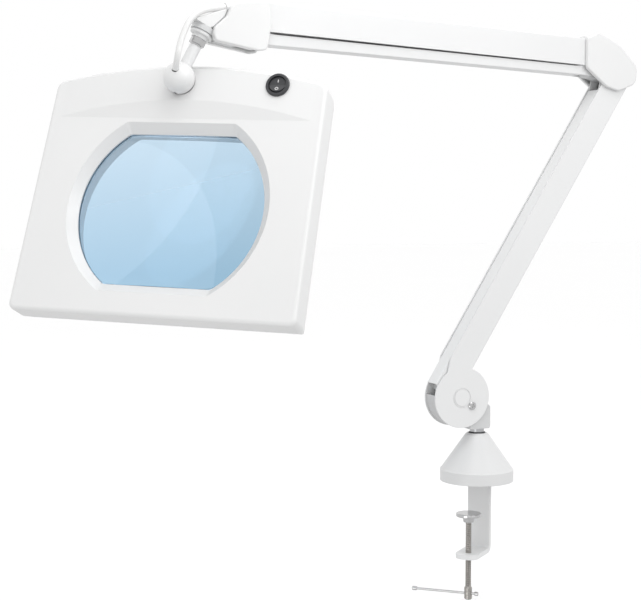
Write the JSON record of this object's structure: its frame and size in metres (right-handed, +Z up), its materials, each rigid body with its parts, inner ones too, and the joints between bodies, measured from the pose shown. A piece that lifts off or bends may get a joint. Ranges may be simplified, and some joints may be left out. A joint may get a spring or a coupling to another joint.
{
  "type": "magnifying lamp",
  "caption": "Clamp-on magnifying lamp: a swivel base, two balanced parallelogram arms and a ball-hung head that holds a wide lens and a work light.",
  "frame": {"origin": "on the base swivel axis, at the underside of the clamp's upper jaw, which is the top of the table", "axes": "+Z up along the base swivel; both arms lie in the XZ plane with every arm hinge parallel to Y; +X from the base towards the elbow, so the head hangs on the -X side"},
  "size_m": [0.6811, 0.271, 0.6212],
  "materials": {
    "white_paint": "satin white powder coat",
    "white_plastic": "smooth white moulded plastic",
    "steel": "plain zinc-plated steel",
    "chrome": "bright chrome plate",
    "black_plastic": "dark grey moulded plastic",
    "rubber_black": "soft black rubber",
    "cable_white": "white cable sheath",
    "lens_glass": "clear optical glass with a faint blue coating",
    "diffuser": "frosted white",
    "circuit_board": "solder-masked board",
    "led": "phosphor-coated light source",
    "component": "moulded electronic parts",
    "zinc_casting": "die casting, white painted where it shows"
  },
  "bodies": {
    "clamp": {"clamp_bracket": "white_paint", "swivel_socket": "steel", "cone_cover": "white_plastic", "base_pad": "rubber_black", "top_bush": "black_plastic"},
    "pad": {"pressure_pad": "chrome"},
    "screw": {"clamp_screw": "chrome"},
    "tommy": {"tommy_bar": "chrome", "tommy_caps": "chrome"},
    "swivel": {"post": "steel", "yoke": "zinc_casting", "guard": "white_plastic", "base_pins": "steel"},
    "lower_arm": {"lower_channel": "white_paint", "cheek_screws": "chrome", "friction_plates": "steel", "lower_springs": "steel", "lower_anchors": "steel"},
    "lower_link": {"lower_link": "white_paint"},
    "elbow": {"elbow_casting": "zinc_casting", "elbow_pins": "steel", "elbow_cover_front": "white_plastic", "elbow_cover_rear": "white_plastic"},
    "upper_arm": {"upper_channel": "white_paint", "upper_springs": "steel", "upper_anchors": "steel"},
    "upper_link": {"upper_link": "white_paint"},
    "arm_end": {"end_casting": "zinc_casting", "end_pins": "steel", "end_cover_front": "white_plastic", "end_cover_rear": "white_plastic", "knuckle": "white_plastic", "cable_gland": "white_plastic", "cable": "cable_white"},
    "neck": {"neck_tube": "white_paint", "neck_nut": "chrome", "neck_washer": "white_paint", "ring_nut": "steel", "ball": "white_plastic"},
    "gimbal": {"tilt_fork": "steel", "tilt_pin": "steel", "hub_nut": "steel"},
    "head": {"front_shell": "white_plastic", "rear_shell": "white_plastic", "shell_screws": "steel", "lens": "lens_glass", "lens_seal": "rubber_black", "lens_retainer": "white_plastic", "retainer_screws": "steel", "diffusers": "diffuser", "led_boards": "circuit_board", "leds": "led", "led_screws": "steel", "driver_board": "circuit_board", "driver_parts": "component", "driver_screws": "steel", "hub_plate": "steel", "hub_screws": "steel", "switch_bezel": "black_plastic"},
    "rocker": {"rocker": "black_plastic"}
  },
  "joints": [
    {"name": "pad_slide", "type": "slide", "parent": "clamp", "child": "pad", "axis": [0, 0, 1], "range_m": [-0.008, 0.02]},
    {"name": "screw_turn", "type": "hinge", "parent": "pad", "child": "screw", "pos_m": [-0.018, -0.01495, -0.06], "axis": [0, 0, 1], "range_deg": [-1441, 3601]},
    {"name": "tommy_slide", "type": "slide", "parent": "screw", "child": "tommy", "axis": [-0.7314, 0.682, 0], "range_m": [-0.048, 0]},
    {"name": "base_swivel", "type": "hinge", "parent": "clamp", "child": "swivel", "pos_m": [0, 0, 0.03], "axis": [0, 0, 1], "range_deg": [-175, 175]},
    {"name": "lower_arm_tilt", "type": "hinge", "parent": "swivel", "child": "lower_arm", "pos_m": [-0.025, 0, 0.092], "axis": [0, 1, 0], "range_deg": [-30, 25]},
    {"name": "lower_link_tilt", "type": "hinge", "parent": "swivel", "child": "lower_link", "pos_m": [-0.041, 0, 0.10299], "axis": [0, 1, 0], "range_deg": [-31, 26]},
    {"name": "elbow_level", "type": "hinge", "parent": "lower_arm", "child": "elbow", "pos_m": [0.17187, 0, 0.43655], "axis": [0, 1, 0], "range_deg": [-26, 31]},
    {"name": "upper_arm_tilt", "type": "hinge", "parent": "elbow", "child": "upper_arm", "pos_m": [0.146, 0, 0.465], "axis": [0, 1, 0], "range_deg": [-25, 22]},
    {"name": "upper_link_tilt", "type": "hinge", "parent": "elbow", "child": "upper_link", "pos_m": [0.13601, 0, 0.44404], "axis": [0, 1, 0], "range_deg": [-26, 26]},
    {"name": "arm_end_level", "type": "hinge", "parent": "upper_arm", "child": "arm_end", "pos_m": [-0.26196, 0, 0.48402], "axis": [0, 1, 0], "range_deg": [-26, 26]},
    {"name": "neck_pan", "type": "hinge", "parent": "arm_end", "child": "neck", "pos_m": [-0.307, 0, 0.467], "axis": [0.4756, 0, 0.8796], "range_deg": [-90, 90]},
    {"name": "head_tilt", "type": "hinge", "parent": "neck", "child": "gimbal", "pos_m": [-0.33325, 0, 0.41844], "axis": [-0.6286, 0.6995, 0.3399], "range_deg": [-10, 70]},
    {"name": "head_roll", "type": "hinge", "parent": "gimbal", "child": "head", "pos_m": [-0.33325, 0, 0.41844], "axis": [-0.5993, -0.7142, 0.3616], "range_deg": [-40, 18]},
    {"name": "rocker_press", "type": "hinge", "parent": "head", "child": "rocker", "pos_m": [-0.25189, -0.05484, 0.40903], "axis": [0.7566, -0.6529, -0.0358], "range_deg": [0, 18]}
  ],
  "couplings": [
    {"joint": "screw_turn", "follows": "pad_slide", "rad_per_m": 3141.6},
    {"joint": "lower_link_tilt", "follows": "lower_arm_tilt", "ratio": 1},
    {"joint": "elbow_level", "follows": "lower_arm_tilt", "ratio": -1},
    {"joint": "upper_link_tilt", "follows": "upper_arm_tilt", "ratio": 1},
    {"joint": "arm_end_level", "follows": "upper_arm_tilt", "ratio": -1}
  ]
}
